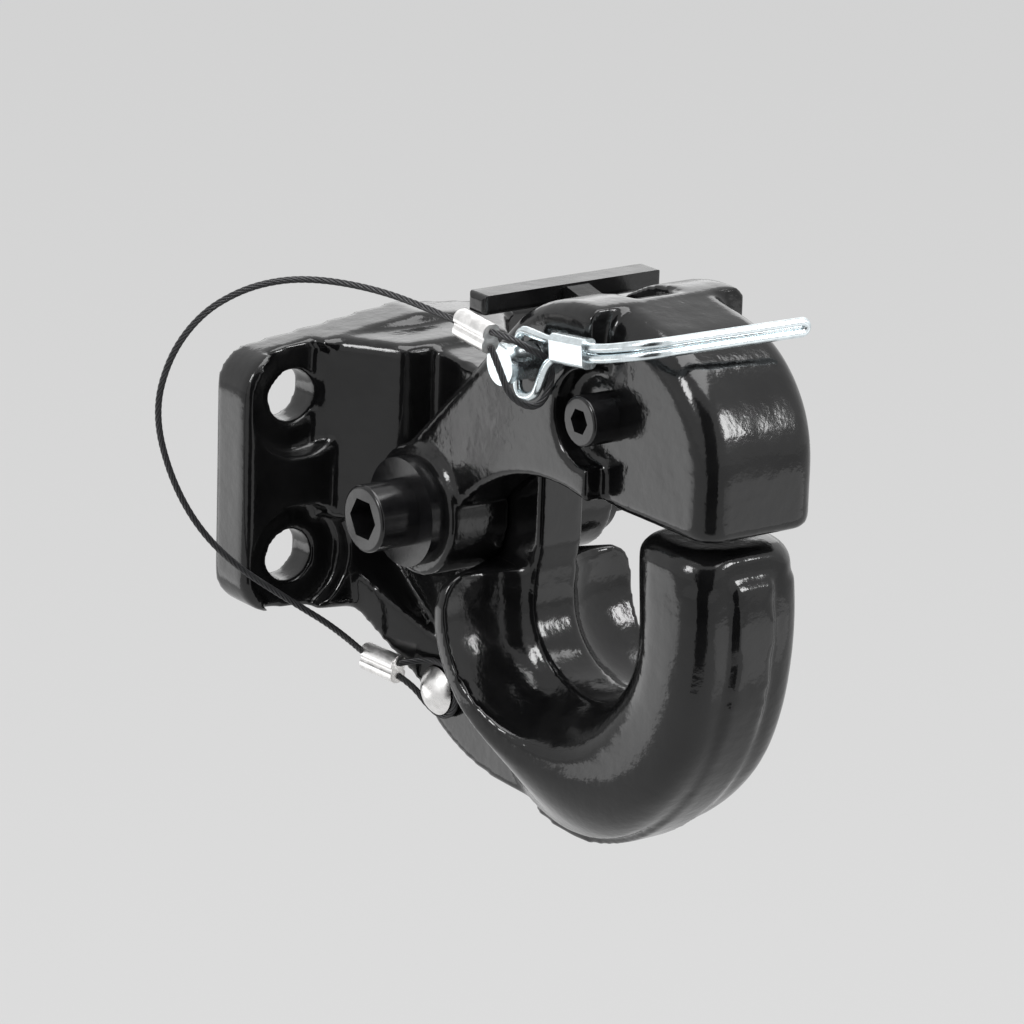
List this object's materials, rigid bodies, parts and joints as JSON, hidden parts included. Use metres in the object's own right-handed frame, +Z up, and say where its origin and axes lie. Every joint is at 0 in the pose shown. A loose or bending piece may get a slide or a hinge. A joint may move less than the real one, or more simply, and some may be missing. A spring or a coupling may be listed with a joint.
{
  "type": "pintle hook",
  "caption": "Black cast pintle hook with a four-hole mounting plate, a hinged upper jaw, a cross-bar latch lever and a tethered lock pin.",
  "frame": {"origin": "centre of the four bolt holes on the mounting plate's back face", "axes": "+X forward from the plate to the nose, +Y across the hook, +Z up"},
  "size_m": [0.161, 0.1388, 0.1508],
  "materials": {
    "black_paint": "gloss black paint over a cast and forged surface",
    "black_steel": "gloss black finish on machined steel",
    "bronze_bush": "machined",
    "spring_steel": "oiled",
    "zinc_steel": "bright blue-white zinc plate",
    "bright_rivet": "bright, softly blurred",
    "aluminium_crimp": "satin, crimped",
    "wire_rope": "dark stranded wire"
  },
  "bodies": {
    "hook": {"hook_body": "black_paint", "pivot_bush": "bronze_bush", "tether_rivet": "bright_rivet", "lower_ferrule": "aluminium_crimp", "lower_loop": "wire_rope", "tether_cable": "wire_rope"},
    "jaw": {"upper_jaw": "black_paint", "jaw_pivot_screw": "black_steel", "jaw_pivot_nut": "black_steel", "pivot_washers": "black_steel", "lever_screw": "black_steel", "lever_nut": "black_steel", "lever_bush": "bronze_bush", "lock_spring": "spring_steel"},
    "lever": {"lock_lever": "black_paint"},
    "pin": {"lock_pin": "zinc_steel", "upper_ferrule": "aluminium_crimp", "upper_loop": "wire_rope"},
    "bail": {"pin_bail": "zinc_steel", "bail_sleeve": "zinc_steel"}
  },
  "joints": [
    {"name": "jaw_swing", "type": "hinge", "parent": "hook", "child": "jaw", "pos_m": [0.05, 0, -0.0005], "axis": [0, -1, 0], "range_deg": [0, 42], "deforming": ["tether_cable"]},
    {"name": "lever_swing", "type": "hinge", "parent": "jaw", "child": "lever", "pos_m": [0.119, 0, 0.0408], "axis": [0, 1, 0], "range_deg": [0, 15], "deforming": ["lock_spring"]},
    {"name": "pin_slide", "type": "slide", "parent": "jaw", "child": "pin", "axis": [0, -1, 0], "range_m": [0, 0.062]},
    {"name": "bail_swing", "type": "hinge", "parent": "pin", "child": "bail", "pos_m": [0.097, -0.0289, 0.0514], "axis": [0, 0, -1], "range_deg": [0, 50], "deforming": ["upper_loop"]}
  ],
  "couplings": [
    {"joint": "lever_swing", "follows": "jaw_swing", "ratio": 0.35714}
  ]
}
